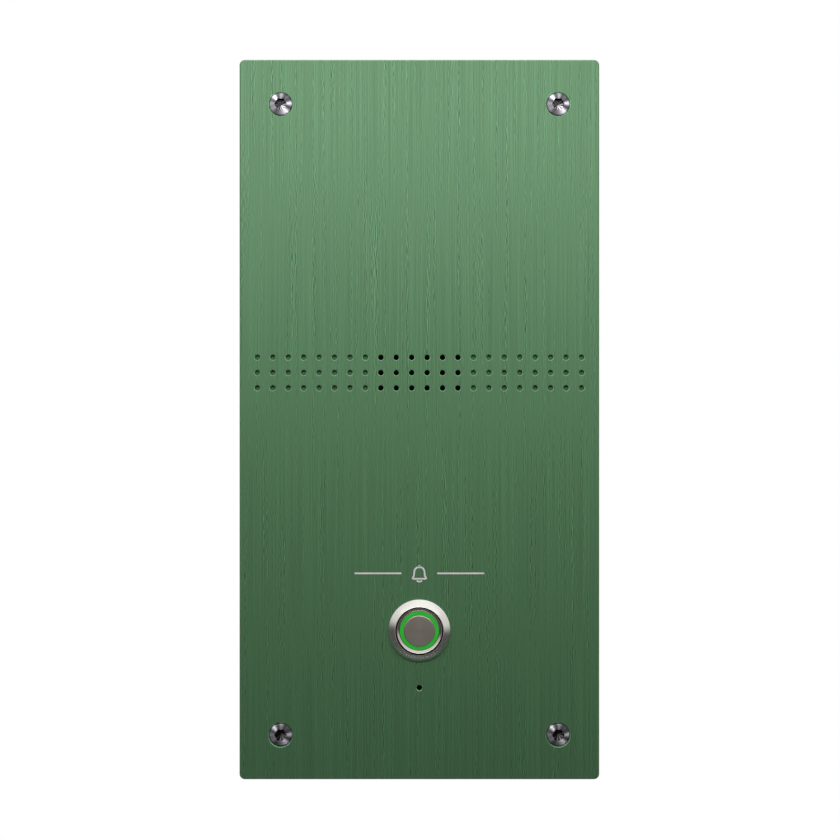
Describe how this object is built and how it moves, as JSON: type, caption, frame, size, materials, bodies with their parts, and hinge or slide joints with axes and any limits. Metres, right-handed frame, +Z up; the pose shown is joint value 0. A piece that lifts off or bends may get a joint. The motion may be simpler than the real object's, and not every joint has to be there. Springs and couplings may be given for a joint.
{
  "type": "intercom door station",
  "caption": "Flush intercom door station: tall brushed green faceplate with a drilled grille, a ring-lit push switch, a microphone hole and a housing behind",
  "frame": {"origin": "middle of the faceplate's back face, which lies against the wall, among the four mounting screws", "axes": "+Z up, +X to the right as seen from the street, +Y into the wall, the front facing -Y"},
  "size_m": [0.1, 0.0389, 0.2],
  "materials": {
    "aluminium_can": "satin",
    "aluminium_fins": "satin",
    "board_green": "gloss",
    "board_white": "gloss",
    "chip_black": "matte",
    "clear_plastic": "gloss",
    "cloth_black": "matte",
    "copper_wound": "gloss",
    "ferrite": "matte",
    "foam_black": "matte",
    "gold_plated": "polished",
    "green_plate": "satin",
    "housing_plastic": "matte",
    "lamp_yellow": "gloss",
    "light_green": "gloss",
    "paper_cone": "matte",
    "plastic_black": "satin",
    "plastic_cream": "satin",
    "plastic_green": "satin",
    "plastic_orange": "gloss",
    "rubber_black": "matte",
    "steel_plain": "satin",
    "steel_polished": "polished",
    "steel_turned": "satin",
    "zinc_plated": "satin"
  },
  "bodies": {
    "panel": {"board_pillars": "steel_plain", "board_screws": "zinc_plated", "board_sockets": "plastic_cream", "button_base": "plastic_black", "button_bezel": "steel_polished", "button_nut": "zinc_plated", "button_seal": "rubber_black", "button_spring": "steel_plain", "button_terminals": "gold_plated", "capacitors": "aluminium_can", "chips": "chip_black", "faceplate": "green_plate", "head_washers": "rubber_black", "header_pins": "gold_plated", "heatsink": "aluminium_fins", "housing_pillars": "steel_plain", "housing_screws": "zinc_plated", "housing_seal": "foam_black", "inductor": "copper_wound", "lamp_board": "board_white", "lamps": "lamp_yellow", "main_board": "board_green", "microphone": "aluminium_can", "microphone_boot": "rubber_black", "microphone_screen": "cloth_black", "mounting_screws": "steel_turned", "network_contacts": "gold_plated", "network_jack": "plastic_black", "processor": "chip_black", "rear_housing": "housing_plastic", "relay": "plastic_orange", "speaker_frame": "zinc_plated", "speaker_gasket": "foam_black", "speaker_magnet": "ferrite", "speaker_membrane": "cloth_black", "speaker_pillars": "steel_plain", "speaker_ring": "steel_plain", "speaker_screws": "zinc_plated", "speaker_surround": "rubber_black", "speaker_terminals": "board_green", "speaker_top_plate": "zinc_plated", "speaker_yoke": "zinc_plated", "terminal_header": "plastic_green", "transformer": "chip_black", "wall_seal": "foam_black", "well_gasket": "foam_black"},
    "call_button": {"button_cap": "steel_polished", "button_face": "steel_polished", "button_light_ring": "light_green", "button_plunger": "clear_plastic", "contact_bridge": "gold_plated"},
    "speaker_cone": {"speaker_cone": "paper_cone", "voice_coil": "copper_wound"}
  },
  "joints": [
    {"name": "call_button_press", "type": "slide", "parent": "panel", "child": "call_button", "axis": [0, 1, 0], "range_m": [0, 0.0015], "stiffness_N_per_m": 1000, "springref_m": -0.002, "deforming": ["button_spring"]},
    {"name": "speaker_cone_travel", "type": "slide", "parent": "panel", "child": "speaker_cone", "axis": [0, 1, 0], "range_m": [-0.0004, 0.0004], "stiffness_N_per_m": 1000, "deforming": ["speaker_surround"]}
  ]
}
